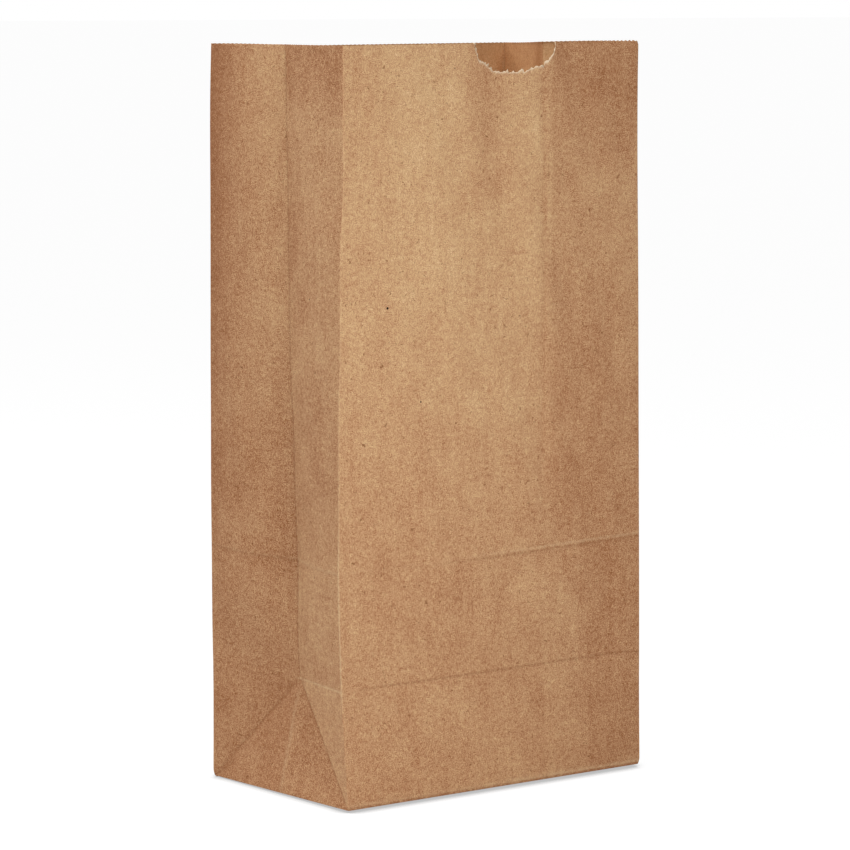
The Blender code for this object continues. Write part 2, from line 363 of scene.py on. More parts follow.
mouth = {
    "frontTeeth": 70,
    "sideTeeth": 44,
    "toothDepth": 0.5,
    "toothShape": [0.0, 0.5, 1.0, 0.5],  # a tooth's four columns, as shares of its depth
    "dullTooth": 0.3,  # share of that depth where the teeth have been rubbed down
    "dullDrop": 0.3,  # and how much lower the edge lies there
    "sharpFrom": 95.0,  # the front's teeth are still sharp from here to the right corner
    # The notch's torn rim, from left to right: (x from the front left corner, depth below the mouth)
    "notchRim": [
        (53.5, 0.0), (53.8, 1.8), (54.6, 3.3), (55.1, 5.0), (56.0, 6.4), (58.1, 6.7), (59.4, 7.8),
        (60.7, 8.8), (61.9, 9.4), (63.4, 9.9), (66.0, 9.9), (68.5, 10.1), (72.0, 10.0), (73.3, 9.3),
        (74.4, 10.1), (76.2, 9.5), (78.1, 9.0), (78.9, 8.5), (81.6, 8.1), (82.9, 8.4), (83.4, 7.5),
        (84.5, 7.1), (86.5, 4.6), (87.2, 4.0), (87.7, 3.0), (88.1, 1.7), (88.6, 0.0),
    ],
    "fraySeed": 7,
    "frayHeight": 0.16,
    "spikeShare": 0.24,  # share of the rim's points that stand up as loose fibre
    "spikeHeight": (0.3, 1.0),
    "tornBelow": 0.45,  # how pale the next row of points down can be, where the rim itself is 1
    # The strip's rows: (how far below the mouth, how far they have closed on the rim's own columns)
    "stripRows": [(3.0, 0.35), (1.6, 0.6), (0.62, 0.85), (0.0, 1.0)],
}

rimX, rimDrop = np.array(mouth["notchRim"], float).T
rimLength = np.concatenate([[0], np.cumsum(np.hypot(np.diff(rimX), np.diff(rimDrop)))])


def dropAt(s):
    # How far the edge lies below the mouth: the notch in the front, and the sag of the back
    sag = ramp(s, width + bag["sagFrom"], backRight) * ramp(s, backLeft, backLeft - bag["sagEase"])
    return np.interp(s, rimX, rimDrop, left=0, right=0) + bag["backDip"] * sag


def bentRow(s, h):
    # Rows near the mouth bend down to its edge, the more the higher they are
    return h - np.clip((h - height) / grid["notchReach"] + 1, 0, 1) * dropAt(s)


# Rows near a tilted crease follow it, and those between shift in proportion
gridS, gridH = np.meshgrid(columns, rows)
for name, level in (("upperCrease", depth), ("lowerCrease", halfDepth)):
    gridH = gridH + creaseShift(gridS, name) * tent(gridH - level, grid["creaseReach"])
gridH = bentRow(gridS, gridH)

perTooth = len(mouth["toothShape"])
fineS = np.concatenate([
    start + np.arange(teeth * perTooth) * length / (teeth * perTooth)
    for start, length, teeth in (
        (0, width, mouth["frontTeeth"]), (width, depth, mouth["sideTeeth"]),
        (backRight, width, mouth["frontTeeth"]), (backLeft, depth, mouth["sideTeeth"]),
    )
])
inNotch = (fineS > rimX[0]) & (fineS < rimX[-1])
along = (fineS - rimX[0]) / (rimX[-1] - rimX[0]) * rimLength[-1]
tornX, tornDrop = np.interp(along, rimLength, rimX), np.interp(along, rimLength, rimDrop)
rng = np.random.default_rng(mouth["fraySeed"])
standing = rng.random(len(fineS)) > 1 - mouth["spikeShare"]
spikes = standing * rng.uniform(*mouth["spikeHeight"], len(fineS))
fray = (rng.normal(0, mouth["frayHeight"], len(fineS)) + spikes) * inNotch
# The fray stands square to the torn edge: its slope is (change of x, change of depth) over their length
alongX, alongDrop = np.gradient(tornX), np.gradient(tornDrop)
stepLength = np.maximum(np.hypot(alongX, alongDrop), 1e-9)
frayX, frayUp = fray * alongDrop / stepLength, fray * alongX / stepLength
isSharp = (fineS > mouth["sharpFrom"]) & (fineS < width)
toothShape = np.array(mouth["toothShape"])[np.arange(len(fineS)) % perTooth] * mouth["toothDepth"]
toothShape = np.where(isSharp, toothShape, toothShape * mouth["dullTooth"] + mouth["dullDrop"])
bandS, bandH = [], []
for below, closed in mouth["stripRows"]:
    ringS = np.where(inNotch, fineS + (tornX - fineS) * closed, fineS)
    ringH = bentRow(ringS, np.full_like(ringS, height - below))
    if below == 0:
        ringS = ringS + frayX
        ringH = np.where(inNotch, height - tornDrop + frayUp, ringH - toothShape)
    bandS.append(ringS)
    bandH.append(ringH)
bandS, bandH = np.array(bandS), np.array(bandH)


def ringFaces(rowCount, columnCount, offset):
    # Quads of a closed band of rows, as vertex numbers, in row and column order
    rowStart = offset + np.arange(rowCount - 1)[:, None] * columnCount
    low = rowStart + np.arange(columnCount)[None, :]
    after = rowStart + (np.arange(columnCount) + 1)[None, :] % columnCount
    return np.stack([low, after, after + columnCount, low + columnCount], axis=-1)


def zipRings(lowS, highS, lowOffset, highOffset):
    # Triangles between a coarse ring and a finer one above it: each fine edge goes down to the nearest
    # coarse corner, and each coarse edge goes up to the fine corner where that nearest one changes
    count, fineCount = len(lowS), len(highS)
    middles = (np.append(lowS, around)[1:] + lowS) / 2
    fineMiddles = (np.append(highS, around)[1:] + highS) / 2
    nearest = np.searchsorted(middles, fineMiddles)
    i, j = np.arange(count), np.arange(fineCount)
    downward = [highOffset + (j + 1) % fineCount, highOffset + j, lowOffset + nearest % count]
    change = np.searchsorted(nearest, i + 1) % fineCount
    upward = [lowOffset + i, lowOffset + (i + 1) % count, highOffset + change]
    return np.concatenate([np.stack(downward, axis=-1), np.stack(upward, axis=-1)])


columnCount, rowCount, fineCount = len(columns), len(rows), len(fineS)
gridCount = columnCount * rowCount
cells = ringFaces(rowCount, columnCount, 0)

# In the block bottom, gusset cells are split along the way of their slanting fold
cellS = (columns + np.append(columns[1:], around)) / 2
cellH = (rows[:-1] + rows[1:]) / 2
onRight = (cellS > width) & (cellS < backRight)
onLeft = cellS > backLeft
across = np.where(onRight, cellS - rightMiddle, cellS - leftMiddle)
low = (cellH > 0) & (cellH < halfDepth)
gusset = (onRight | onLeft)[None, :] & low[:, None]
rising, falling = gusset & (across < 0)[None, :], gusset & (across >= 0)[None, :]
a, b, c, d = np.moveaxis(cells, -1, 0)
splits = [
    np.stack([a[rising], b[rising], c[rising]], -1), np.stack([a[rising], c[rising], d[rising]], -1),
    np.stack([a[falling], b[falling], d[falling]], -1), np.stack([b[falling], c[falling], d[falling]], -1),
]
strip = ringFaces(len(mouth["stripRows"]), fineCount, gridCount)
quads = np.concatenate([cells[~gusset], strip.reshape(-1, 4)])
triangles = np.concatenate(splits + [zipRings(columns, bandS[0], gridCount - columnCount, gridCount)])
floorRing = np.arange(columnCount)[::-1]

sheetS = np.concatenate([gridS.ravel(), bandS.ravel()])
sheetH = np.concatenate([gridH.ravel(), bandH.ravel()])
sheetPlace = foldedPoint(sheetS, sheetH)
print("sheet points", len(sheetS))


def pointNormals(points, faceGroups):
    # Each point's normal: the sum of the cross products of the faces round it, made one long
    total = np.zeros_like(points)
    for faces in faceGroups:
        p = points[faces]
        cross = np.cross(p[:, 1] - p[:, 0], p[:, 2] - p[:, 0])
        if faces.shape[1] == 4:
            cross = cross + np.cross(p[:, 2] - p[:, 0], p[:, 3] - p[:, 0])
        for corner in range(faces.shape[1]):
            np.add.at(total, faces[:, corner], cross)
    return total / np.maximum(np.linalg.norm(total, axis=1, keepdims=True), 1e-12)


inner = sheetPlace - pointNormals(sheetPlace, [quads, triangles]) * bag["ply"]
inner[:columnCount, 2] = sheetPlace[:columnCount, 2] + bag["ply"]  # the floor's inner face, one ply up
outerCount = len(sheetPlace)
rim = outerCount - fineCount + np.arange(fineCount)
rimNext = np.roll(rim, -1)
rimQuads = np.stack([rim, rimNext, rimNext + outerCount, rim + outerCount], -1)
faceList = quads.tolist() + triangles.tolist() + [floorRing.tolist()]
faceList += (quads[:, ::-1] + outerCount).tolist() + (triangles[:, ::-1] + outerCount).tolist()
faceList += [(floorRing[::-1] + outerCount).tolist()] + rimQuads.tolist()

# The pasted flaps of the base lie flat against the tipped floor

flaps = {
    "insetX": 1.2,  # from the bag's own foot to the long flaps
    "insetY": 0.8,
    "endInset": 0.3,  # from there to the end flaps
    "halfLap": 8.0,
    "longLevels": (0.12, 0.26),  # bottom and top of each ply
    "lapLevels": (0.0, 0.13),
    "endLevels": (0.33, 0.5),
    "underFloor": 0.24,  # how far below the bag's floor level they are counted from
}
lap, waist = flaps["halfLap"], halfWidth - halfDepth
edgeX, edgeY = halfWidth - flaps["insetX"], halfDepth - flaps["insetY"]
endX, endY = edgeX - flaps["endInset"], edgeY - flaps["endInset"]
longFlaps = [(edgeX, -edgeY), (waist, 0), (edgeX, edgeY), (-edgeX, edgeY), (-waist, 0), (-edgeX, -edgeY)]
plates = [
    (longFlaps, "longLevels"),
    ([(lap - waist, -lap), (waist - lap, -lap), (waist + lap, lap), (-waist - lap, lap)], "lapLevels"),
    ([(waist - lap, -endY), (endX, -endY), (endX, endY), (waist - lap, endY)], "endLevels"),
    ([(-endX, -endY), (lap - waist, -endY), (lap - waist, endY), (-endX, endY)], "endLevels"),
]
platePoints = []
for outline, levels in plates:
    n, start = len(outline), 2 * outerCount + len(platePoints)
    platePoints += [(x, y, level) for level in flaps[levels] for x, y in outline]
    faceList += [[start + i for i in reversed(range(n))], [start + n + i for i in range(n)]]
    faceList += [[start + i, start + (i + 1) % n, start + n + (i + 1) % n, start + n + i] for i in range(n)]
platePoints = np.array(platePoints)
platePoints[:, 2] += bag["floorLevel"] - flaps["underFloor"] + platePoints[:, :2] @ np.array(bag["baseTip"])
plateCount = len(platePoints)
plateFaces = sum(len(outline) + 2 for outline, levels in plates)

# Wear and painted highlight on the folds, painted shade in the creases, and painted light and shade over the
# sides

everywhere = math.inf
marks = {
    # Pale lines, partly wear and partly painted highlight: (strength, place across the fold, spread)
    "wornHighlitCorner": (1.0, 0.0, 0.4),
    "wornHighlitRightCorner": (0.3, 0.0, 0.5),
    "wornHighlitLower": (1.0, -0.05, 0.3),
    "wornHighlitUpper": (0.55, 0.5, 0.45),
    "wornHighlitMiddle": (0.4, 0.0, 0.9),
    "wornHighlitFoot": (1.0, 1.5, 0.45),
    # Dark lines of painted shade in the creases, along the foot and at the tuck
    "darkLower": (0.9, -0.1, 0.42),
    "darkUpper": (0.9, -0.6, 0.5),
    "darkSlant": (0.8, 0.0, 0.5),
    "darkMiddle": (0.75, 0.0, 0.4),
    "darkSideUpper": (0.7, 0.0, 0.5),
    "darkFoot": (1.3, 0.35, 0.5),
    "darkTuck": (1.0, 0.0, 0.7),
    "darkCut": (1.0, -0.2, 0.5),
    "tuckSlope": 0.7,  # the tuck's line rises this much for each millimetre from the back left corner
    "tuckReach": 9.0,
    # Where a line comes in along its fold: (nothing, full)
    "wornHighlitCornerFrom": (30, 38),
    "wornHighlitUpperFrom": (38, 86),
    "wornHighlitFootFrom": (40, 90),
    "darkLowerFrom": (4, 14),
    "darkUpperFrom": (26, 74),
    # Painted light and shade over the sides, paler above zero and browner below:
    # (amount, middle across, spread, h where it is nothing, h where it is full)
    "front": [
        (0.17, 0, everywhere, 70, 180), (-0.05, 0, everywhere, 215, 252), (0.12, 33, 22, 110, 170),
        (-0.17, 58, 8, 180, 230), (0.08, 77, 8, 150, 210), (-0.14, 83.2, 1.2, 60, 150),
        (0.08, 85.6, 1.1, 60, 150),
    ],
    "rightOfFront": [(-0.17, 0, everywhere, -3, -2), (-0.16, 0, everywhere, 200, 240)],
    "farHalf": [
        (-0.17, 0, everywhere, -3, -2), (-0.06, 0, 14, -3, -2), (-0.30, 0, 11, 60, 210),
        (0.22, 34, 13, 120, 180),
    ],
    "nearHalf": [
        (-0.03, 0, everywhere, -3, -2), (-0.20, 0, everywhere, 222, 246), (-0.08, 39.7, 7, 120, 180),
    ],
    # Painted light and shade of the flat fields of the left gusset's block bottom
    "farEar": -0.21,
    "farTriangle": -0.26,
    "nearEar": 0.09,
    "nearTriangle": -0.19,
    # Painted light and shade of the inner face
    "innerBack": 0.5,
    "innerRightFront": 0.55,
    "innerRest": -0.02,
    "innerCrease": (-0.5, 5.0, 5.0),
    "outerFelt": (1.1, 1.3),  # how strongly the felt shows: all round, and on the near half of the gusset
    "innerFelt": 1.3,
}


def lineAcross(name, distance):
    # Bell curve across a fold, with the strength, place and spread of the named mark
    strength, place, spread = marks[name]
    return strength * bump(distance, place, spread)


def paleFoldLines(s, h):
    # Pale lines along the folds, partly wear and partly painted highlight, each faded in and out along its
    # fold
    front, nearHalf = s < width, ramp(s, leftMiddle - 3, leftMiddle + 1)
    cornerFade = ramp(h, *marks["wornHighlitCornerFrom"]) * (0.1 + 0.3 * ramp(h, 170, 140) + 0.6 * ramp(h, 110, 80))
    upperFade = np.where(front, 0.15 + 0.85 * ramp(s, *marks["wornHighlitUpperFrom"]), 0.3 + 0.4 * nearHalf)
    footFade = front * (0.4 + 0.6 * ramp(s, *marks["wornHighlitFootFrom"]))
    total = lineAcross("wornHighlitCorner", np.minimum(s, around - s)) * cornerFade
    total = total + lineAcross("wornHighlitRightCorner", s - width)
    total = total + lineAcross("wornHighlitLower", h - halfDepth) * nearHalf
    total = total + lineAcross("wornHighlitUpper", aboveUpper(s, h)) * upperFade
    total = total + lineAcross("wornHighlitMiddle", s - leftMiddle) * ramp(h, halfDepth - 2, halfDepth - 8)
    return np.clip(total + lineAcross("wornHighlitFoot", h) * footFade, 0, 1)


def creaseDark(s, h):
    # Dark lines of painted shade in the creases of the front and the left gusset, each faded in and out along
    # its fold
    front, left, nearHalf = s < width, s > backLeft, s > leftMiddle
    slantGap = np.abs(np.abs(s - leftMiddle) + h - halfDepth)
    upperFade = front * (0.15 + 0.85 * ramp(s, *marks["darkUpperFrom"]))
    total = lineAcross("darkLower", aboveLower(s, h)) * front * ramp(s, *marks["darkLowerFrom"])
    total = total + lineAcross("darkUpper", aboveUpper(s, h)) * upperFade
    total = total + lineAcross("darkSlant", slantGap) * np.where(nearHalf, 1, 0.75) * left * (h < halfDepth)
    total = total + lineAcross("darkMiddle", s - leftMiddle) * ramp(h, halfDepth, halfDepth + 3)
    total = total + lineAcross("darkSideUpper", aboveUpper(s, h)) * left * np.where(s < leftMiddle, 1, 0.5)
    total = total + lineAcross("darkFoot", h) * front
    tuck = lineAcross("darkTuck", h - marks["tuckSlope"] * (s - backLeft))
    return np.clip(total + tuck * left * (s < backLeft + marks["tuckReach"]), 0, 1)


def paintedShadingOutside(s, h):
    # Painted light and shade in the paper's colour: browner at the right of the front, at the mouth and at
    # the back left corner, and set field by field on the left gusset's block bottom
    right = ramp(s - np.clip(100 - h, 0, 60) * 0.3, 81, 89)
    front = patchSum(s, h, marks["front"]) + right * patchSum(s, h, marks["rightOfFront"])
    far = np.clip(s - backLeft, 0, depth)
    farHalf = far < halfDepth
    ear = h > np.minimum(far, depth - far) + 0.01
    high = np.where(farHalf, patchSum(far, h, marks["farHalf"]), patchSum(far, h, marks["nearHalf"]))
    low = np.where(
        farHalf, np.where(ear, marks["farEar"], marks["farTriangle"]),
        np.where(ear, marks["nearEar"], marks["nearTriangle"]),
    )
    side = np.where(h < halfDepth, low, high)
    return np.where(s < width, front, np.where(s > backLeft, side, 0.0))


def paintedShadingInside(s, h):
    # Painted light on the inner face: even, but paler on the back and the right gusset's front half, and a
    # browner strip of painted shadow beside the right gusset's middle crease
    amount, place, spread = marks["innerCrease"]
    rest = marks["innerRest"] + amount * bump(s - rightMiddle, place, spread)
    onBack = (s > backRight) & (s < backLeft)
    rest = np.where((s > width) & (s < rightMiddle), marks["innerRightFront"], rest)
    return np.where(onBack, marks["innerBack"], rest)


torn = np.zeros(outerCount)
torn[rim] = inNotch * 1.0
torn[rim - fineCount] = inNotch * rng.uniform(0.0, mouth["tornBelow"], len(fineS))
felt = np.where(sheetS > leftMiddle, marks["outerFelt"][1], marks["outerFelt"][0])
# A thin line of painted shade on the inner face, just below the mouth's edge
cutLine = lineAcross("darkCut", sheetH + dropAt(sheetS) - height) * (sheetS > width)
none, plain = np.zeros(outerCount), np.zeros(plateCount)
# Each value on the outer face, the inner face and the flaps
pointValues = {
    "torn": (torn, torn, plain),
    "wear": (paleFoldLines(sheetS, sheetH), none, plain),
    "creaseDark": (creaseDark(sheetS, sheetH), cutLine, plain),
    "tone": (paintedShadingOutside(sheetS, sheetH), paintedShadingInside(sheetS, sheetH), plain),
    "felt": (felt, felt * marks["innerFelt"], plain + 1),
    "inside": (none, none + 1, plain),
}

allPoints = np.concatenate([sheetPlace, inner, platePoints])
mesh = bpy.data.meshes.new("paper_bag_sheet")
mesh.from_pydata((allPoints / 1000).tolist(), [], faceList)
mesh.update()
for name, values in pointValues.items():
    mesh.attributes.new(name, "FLOAT", "POINT").data.foreach_set("value", np.concatenate(values))

# The sheet's own map, in metres of flat paper, with no jump where the last column meets the first.
# The flaps take theirs from a free place beside it
flapPlace = (700, 100)
allS = np.concatenate([sheetS, sheetS, flapPlace[0] + platePoints[:, 0]])
allH = np.concatenate([sheetH, sheetH, flapPlace[1] + platePoints[:, 1]])
corners = np.empty(len(mesh.loops), int)
mesh.loops.foreach_get("vertex_index", corners)
starts = np.empty(len(mesh.polygons), int)
mesh.polygons.foreach_get("loop_start", starts)
cornerS, cornerH = allS[corners], allH[corners]
sizes = np.diff(np.append(starts, len(corners)))
highest = np.repeat(np.maximum.reduceat(cornerS, starts), sizes)
small = np.repeat(sizes, sizes) <= 4
cornerS = np.where(small & (highest - cornerS > around / 2), cornerS + around, cornerS)
uvLayer = mesh.uv_layers.new(name="sheetMap")
uvLayer.data.foreach_set("uv", np.stack([cornerS, cornerH], -1).ravel() / 1000)

# Slanting folds stay crisp: edges whose two ends both lie on one
gussetGap = np.where(sheetS > backLeft, np.abs(sheetS - leftMiddle), np.abs(sheetS - rightMiddle))
onGusset = ((sheetS >= width) & (sheetS <= backRight)) | (sheetS >= backLeft)
onSlant = onGusset & (np.abs(gussetGap + sheetH - halfDepth) < 1e-4) & (sheetH > -0.1)
onSlant = np.concatenate([onSlant, onSlant, plain > 0])
ends = np.empty(len(mesh.edges) * 2, int)
mesh.edges.foreach_get("vertices", ends)
sharp = onSlant[ends.reshape(-1, 2)].all(axis=1)
mesh.attributes.new("sharp_edge", "BOOLEAN", "EDGE").data.foreach_set("value", sharp)
smooth = np.arange(len(mesh.polygons)) < len(mesh.polygons) - plateFaces
mesh.polygons.foreach_set("use_smooth", smooth)
mesh.update()
sheet = bpy.data.objects.new("paper_bag_sheet", mesh)
bpy.context.scene.collection.objects.link(sheet)
print("bag sheet made:", sum(sizes - 2), "triangles")

# The paper

paper = {
    "deepest": "#804C2A",
    "deep": "#9F6943",
    "middle": "#C0916B",
    "light": "#D4AF80",
    "palest": "#E8C8A0",
    "inside": "#D89D66",
    "insideShare": 0.42,
    "tornFibre": "#EFDBBB",
    "wornFold": "#D9BB92",
    "darkFibre": "#7C4A26",
    "bark": "#23170D",
    "roughness": 0.8,
    "ior": 1.47,
    "specular": 0.2,
    # Each layer of the sheet's formation, from clouds to single flocks of fibre:
    # (size, octaves, roughness, stretch up the sheet, turn in degrees, strength)
    "formation": [
        (41.6667, 2, 0.5, 1.0, 0, 0.38), (10.5263, 3, 0.55, 1.0, 0, 0.36), (3.8462, 3, 0.6, 0.22, 0, 0.42),
        (1.9231, 2, 0.5, 1.0, 0, 0.6), (0.9091, 1, 0.5, 1.0, 0, 0.65), (0.3448, 1, 0.5, 1.0, 0, 2.1),
        (0.3846, 1, 0.5, 0.3, 10, 0.5), (0.3846, 1, 0.5, 0.3, 70, 0.5), (0.3846, 1, 0.5, 0.3, -50, 0.5),
    ],
    "fibreCurl": 3.0303,  # size of the noise whose level lines the fibres follow
    "fibreWidth": (0.004, 0.016),  # how far off that level they are full, and gone
    "fibrePatch": 1.5625,  # size of the noise that keeps some of them
    "fibresKept": (0.57, 0.64),
    "fibreStrength": 0.8,
    "fleckSpacing": 9.0909,
    "fleckRadius": 0.291,
    "fleckShare": 0.06,  # share of those cells that hold a fleck
    "largeFlecks": [(18.3, 165.7, 0.42), (31.8, 134.0, 0.3)],  # (s, h, radius)
    "lineBreaks": 1.1111,  # size of the noise that breaks up worn and pressed lines
    "breakRange": (0.35, 0.62),  # where that noise leaves the least of a line, and all of it
    "breakLeast": 0.15,
    "paintedShadeStrength": 0.6,
    "wornHighlitStrength": 0.8,
    # The sheet's tooth, and its cockle: (size, octaves, height, strength)
    "relief": [(0.9091, 1, 0.04, 0.35), (8.3333, 3, 0.35, 0.5)],
}


def bagPaper():
    # Unbleached brown wrapping paper, from long softwood fibre, glazed by the machine on one side. It gives
    # the eye a warm matt brown with cloudy formation, a fine felt of fibres, and a few flecks of bark
    material = bpy.data.materials.new("unbleached_bag_paper")
    material.use_nodes = True
    tree = material.node_tree
    tree.nodes.clear()
    flat = (addNode(tree, "ShaderNodeUVMap", {"uv_map": "sheetMap"}), "UV")  # metres of flat paper

    # Formation: clouds of 40 and 10 mm, streaks of 4 mm, flocks of 2 and 1 mm, and the felt of fibres. Real
    # fibres are 0.03 mm wide, too fine to show, so the felt is drawn at about 0.4 mm
    total = 0.0
    for size, octaves, rough, stretch, turn, strength in paper["formation"]:
        laid = addNode(tree, "ShaderNodeMapping", {}, {
            "Vector": flat, "Rotation": (0, 0, math.radians(turn)), "Scale": (1.0, stretch, 1.0),
        })
        layer = addNode(tree, "ShaderNodeTexNoise", {}, {
            "Vector": (laid, 0), "Scale": 1000 / size, "Detail": octaves, "Roughness": rough,
        })
        centred = addNode(tree, "ShaderNodeMath", {"operation": "MULTIPLY_ADD"},
                          {0: (layer, "Fac"), 1: strength, 2: -strength / 2})
        total = (addNode(tree, "ShaderNodeMath", {"operation": "ADD"}, {0: total, 1: (centred, 0)}), 0)
    felt = addNode(tree, "ShaderNodeAttribute", {"attribute_name": "felt"})
    # The painted light and shade carried on the sheet's points
    tone = addNode(tree, "ShaderNodeAttribute", {"attribute_name": "tone"})
    shade = addNode(tree, "ShaderNodeMath", {"operation": "MULTIPLY_ADD"},
                    {0: total, 1: (felt, "Fac"), 2: (tone, "Fac")})
    level = addNode(tree, "ShaderNodeMath", {"operation": "MULTIPLY_ADD", "use_clamp": True},
                    {0: (shade, 0), 1: 0.5, 2: 0.5})
    tint = addNode(tree, "ShaderNodeValToRGB", {}, {"Fac": (level, 0)})
    tint.color_ramp.elements[0].color = linearColour(paper["deepest"])
    tint.color_ramp.elements[1].color = linearColour(paper["palest"])
    for place, name in ((0.25, "deep"), (0.5, "middle"), (0.75, "light")):
        tint.color_ramp.elements.new(place).color = linearColour(paper[name])

    # Short curled fibres: thin level lines of one noise, kept only where another is high
    curl = addNode(tree, "ShaderNodeTexNoise", {}, {
        "Vector": flat, "Scale": 1000 / paper["fibreCurl"], "Detail": 1, "Roughness": 0.4, "Distortion": 0.6,
    })
    offLevel = addNode(tree, "ShaderNodeMath", {"operation": "SUBTRACT"}, {0: (curl, "Fac"), 1: 0.5})
    offLine = addNode(tree, "ShaderNodeMath", {"operation": "ABSOLUTE"}, {0: (offLevel, 0)})
    thin = addNode(tree, "ShaderNodeMapRange", {}, {
        "Value": (offLine, 0), "From Min": paper["fibreWidth"][0], "From Max": paper["fibreWidth"][1],
        "To Min": 1.0, "To Max": 0.0,
    })
    patch = addNode(tree, "ShaderNodeTexNoise", {}, {
        "Vector": flat, "Scale": 1000 / paper["fibrePatch"], "Detail": 1, "Roughness": 0.5,
    })
    kept = addNode(tree, "ShaderNodeMapRange", {}, {
        "Value": (patch, "Fac"), "From Min": paper["fibresKept"][0], "From Max": paper["fibresKept"][1],
        "To Min": 0.0, "To Max": paper["fibreStrength"],
    })
    fibres = addNode(tree, "ShaderNodeMath", {"operation": "MULTIPLY"}, {0: (thin, 0), 1: (kept, 0)})

    # The inner face is painted a warmer, paler brown: painted light, standing in for the warm light that
    # comes through the paper into the bag
    inside = addNode(tree, "ShaderNodeAttribute", {"attribute_name": "inside"})
    warm = addNode(tree, "ShaderNodeMath", {"operation": "MULTIPLY"},
                   {0: (inside, "Fac"), 1: paper["insideShare"]})

    # Bark flecks: one small dark grain in a few of the cells, and the larger ones by their own places
    cells = addNode(tree, "ShaderNodeTexVoronoi", {}, {"Vector": flat, "Scale": 1000 / paper["fleckSpacing"]})
    grain = addNode(tree, "ShaderNodeMath", {"operation": "LESS_THAN"},
                    {0: (cells, "Distance"), 1: paper["fleckRadius"] / paper["fleckSpacing"]})
    chosen = addNode(tree, "ShaderNodeSeparateColor", {}, {"Color": (cells, "Color")})
    rare = addNode(tree, "ShaderNodeMath", {"operation": "GREATER_THAN"},
                   {0: (chosen, 0), 1: 1 - paper["fleckShare"]})
    flecks = addNode(tree, "ShaderNodeMath", {"operation": "MULTIPLY"}, {0: (grain, 0), 1: (rare, 0)})
    paints = [(fibres, 0, "darkFibre"), (warm, 0, "inside"), (flecks, 0, "bark")]
    for s, h, radius in paper["largeFlecks"]:
        gap = addNode(tree, "ShaderNodeVectorMath", {"operation": "DISTANCE"},
                      {0: flat, 1: (s / 1000, h / 1000, 0)})
        onFleck = addNode(tree, "ShaderNodeMath", {"operation": "LESS_THAN"},
                          {0: (gap, "Value"), 1: radius / 1000})
        paints.append((onFleck, 0, "bark"))

    # Folds: a darker line of painted shade in the creases, and a pale line of wear and painted highlight on
    # others, both broken up by the felt
    breaks = addNode(tree, "ShaderNodeTexNoise", {}, {
        "Vector": flat, "Scale": 1000 / paper["lineBreaks"], "Detail": 2, "Roughness": 0.6,
    })
    broken = addNode(tree, "ShaderNodeMapRange", {}, {
        "Value": (breaks, "Fac"), "From Min": paper["breakRange"][0], "From Max": paper["breakRange"][1],
        "To Min": paper["breakLeast"], "To Max": 1.0,
    })
    for name, colour, strength in (
        ("creaseDark", "deepest", paper["paintedShadeStrength"]), ("wear", "wornFold", paper["wornHighlitStrength"]),
    ):
        amount = addNode(tree, "ShaderNodeAttribute", {"attribute_name": name})
        share = addNode(tree, "ShaderNodeMath", {"operation": "MULTIPLY"}, {0: (amount, "Fac"), 1: strength})
        share = addNode(tree, "ShaderNodeMath", {"operation": "MULTIPLY"}, {0: (share, 0), 1: (broken, 0)})
        paints.append((share, 0, colour))
    paints.append((addNode(tree, "ShaderNodeAttribute", {"attribute_name": "torn"}), "Fac", "tornFibre"))

    # Each paint is laid over those before it, by its own share
    colour = (tint, "Color")
    for node, output, name in paints:
        colour = (addNode(tree, "ShaderNodeMix", {"data_type": "RGBA"},
                          {0: (node, output), 6: colour, 7: linearColour(paper[name])}), 2)

    # The tooth of the sheet, and the slight cockle of paper that has been pressed and opened
    normal = None
    for size, octaves, lift, strength in paper["relief"]:
        relief = addNode(tree, "ShaderNodeTexNoise", {}, {
            "Vector": flat, "Scale": 1000 / size, "Detail": octaves, "Roughness": 0.5,
        })
        raised = {"Height": (relief, "Fac"), "Strength": strength, "Distance": lift / 1000}
        if normal:
            raised["Normal"] = normal
        normal = (addNode(tree, "ShaderNodeBump", {}, raised), "Normal")
    shader = addNode(tree, "ShaderNodeBsdfPrincipled", {}, {
        "Base Color": colour, "Normal": normal, "Roughness": paper["roughness"], "IOR": paper["ior"],
        "Specular IOR Level": paper["specular"],
    })
    addNode(tree, "ShaderNodeOutputMaterial", {}, {"Surface": (shader, "BSDF")})
    return material


sheet.data.materials.append(bagPaper())
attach(sheet, "root")
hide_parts("paper_bag")
print("paper made")

# The table top, the lamps and the camera, in metres

studio = {
    "floorColour": "#F4F4F4",
    "seenColour": "#616161",  # what the camera sees of it before the glow
    "floorGlow": 0.95,  # what the camera sees added, so that the table reads white
    "contactGlow": 0.5,  # the same right against the bag, where ambient occlusion lowers it as a painted contact shadow
    "contactReach": 0.008,
    "contactRange": (0.5, 0.85),  # openness of the floor where the painted contact shadow is full, and gone
    "contactSamples": 12,
    "floorReach": 40.0,
    "worldLight": 0.22,
}


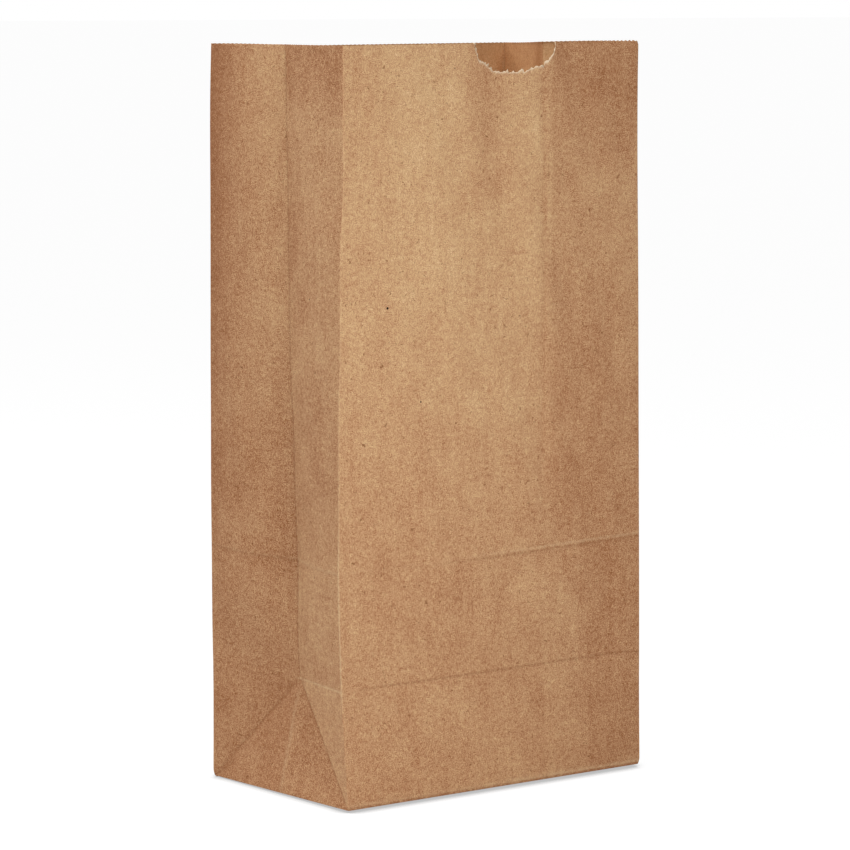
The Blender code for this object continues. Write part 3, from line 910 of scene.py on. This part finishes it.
def tablePaper():
    # Matt white table paper: it gives the eye plain white, with the bag's soft shadow left on it and a thin
    # painted contact shadow beside the bag
    material = bpy.data.materials.new("white_table_paper")
    material.use_nodes = True
    tree = material.node_tree
    tree.nodes.clear()
    path = addNode(tree, "ShaderNodeLightPath")
    plain = addNode(tree, "ShaderNodeBsdfDiffuse", {}, {"Color": linearColour(studio["floorColour"])})
    seen = addNode(tree, "ShaderNodeBsdfDiffuse", {}, {"Color": linearColour(studio["seenColour"])})
    # Ambient occlusion dims the glow beside the bag: a painted contact shadow
    near = addNode(tree, "ShaderNodeAmbientOcclusion", {"samples": studio["contactSamples"]},
                   {"Distance": studio["contactReach"]})
    level = addNode(tree, "ShaderNodeMapRange", {}, {
        "Value": (near, "AO"), "From Min": studio["contactRange"][0], "From Max": studio["contactRange"][1],
        "To Min": studio["contactGlow"], "To Max": studio["floorGlow"],
    })
    glow = addNode(tree, "ShaderNodeEmission", {}, {"Color": (1, 1, 1, 1), "Strength": (level, 0)})
    both = addNode(tree, "ShaderNodeAddShader", {}, {0: (seen, 0), 1: (glow, 0)})
    mix = addNode(tree, "ShaderNodeMixShader", {}, {0: (path, "Is Camera Ray"), 1: (plain, 0), 2: (both, 0)})
    addNode(tree, "ShaderNodeOutputMaterial", {}, {"Surface": (mix, 0)})
    return material


floorMesh = bpy.data.meshes.new("table_top")
reach = studio["floorReach"]
floorCorners = [(-reach, -reach, 0), (reach, -reach, 0), (reach, reach, 0), (-reach, reach, 0)]
floorMesh.from_pydata(floorCorners, [], [(0, 1, 2, 3)])
floor = bpy.data.objects.new("table_top", floorMesh)
bpy.context.scene.collection.objects.link(floor)
floorMesh.materials.append(tablePaper())

world = bpy.data.worlds.new("studio_air")
bpy.context.scene.world = world
world.use_nodes = True
tree = world.node_tree
tree.nodes.clear()
path = addNode(tree, "ShaderNodeLightPath")
level = addNode(tree, "ShaderNodeMapRange", {}, {
    "Value": (path, "Is Camera Ray"), "From Min": 0.0, "From Max": 1.0, "To Min": studio["worldLight"],
    "To Max": 1.0,
})
air = addNode(tree, "ShaderNodeBackground", {}, {"Color": (1, 1, 1, 1), "Strength": (level, 0)})
addNode(tree, "ShaderNodeOutputWorld", {}, {"Surface": (air, 0)})

# Each softbox: place, size and watts; all of them face the middle of the bag
softboxes = {
    "front_softbox": {"place": (-0.12, -0.36, 0.15), "size": 0.2, "watts": 0.33},
    "high_front_softbox": {"place": (-0.10, -0.80, 0.90), "size": 0.5, "watts": 3.6},
    "high_left_softbox": {"place": (-0.60, 0.0, 0.90), "size": 0.5, "watts": 4.0},
    "high_back_softbox": {"place": (-0.30, 0.80, 0.90), "size": 0.5, "watts": 4.3},
}
bagMiddle = Vector((0, 0, 0.12))
for name, box in softboxes.items():
    light = bpy.data.lights.new(name, "AREA")
    light.shape = "SQUARE"
    light.size = box["size"]
    light.energy = box["watts"]
    lamp = bpy.data.objects.new(name, light)
    lamp.location = box["place"]
    lamp.rotation_euler = (bagMiddle - Vector(box["place"])).to_track_quat("-Z", "Y").to_euler()
    bpy.context.scene.collection.objects.link(lamp)

view = {
    "lens": 169.627,
    "sensor": 36.0,
    "clip": (0.05, 30.0),
    "distance": 1.3781,
    "yaw": 37.786,
    "pitch": 6.305,
    "roll": -0.254,
    "aimAside": -0.00024,
    "aimHeight": 0.12106,
}
cameraData = bpy.data.cameras.new("photo_camera")
cameraData.lens = view["lens"]
cameraData.sensor_width = view["sensor"]
cameraData.clip_start, cameraData.clip_end = view["clip"]
camera = bpy.data.objects.new("photo_camera", cameraData)
bpy.context.scene.collection.objects.link(camera)
yaw, pitch, roll = (math.radians(view[name]) for name in ("yaw", "pitch", "roll"))
forward = Vector((math.sin(yaw) * math.cos(pitch), math.cos(yaw) * math.cos(pitch), -math.sin(pitch)))
right = Vector((math.cos(yaw), -math.sin(yaw), 0))
up = right.cross(forward)
rolledRight = right * math.cos(roll) + up * math.sin(roll)
rolledUp = up * math.cos(roll) - right * math.sin(roll)
target = Vector((0, 0, view["aimHeight"])) + right * view["aimAside"]
turn = Matrix((rolledRight, rolledUp, -forward)).transposed()
camera.matrix_world = Matrix.Translation(target - forward * view["distance"]) @ turn.to_4x4()
bpy.context.scene.camera = camera
bpy.context.scene.view_settings.view_transform = "Standard"
print("studio made")
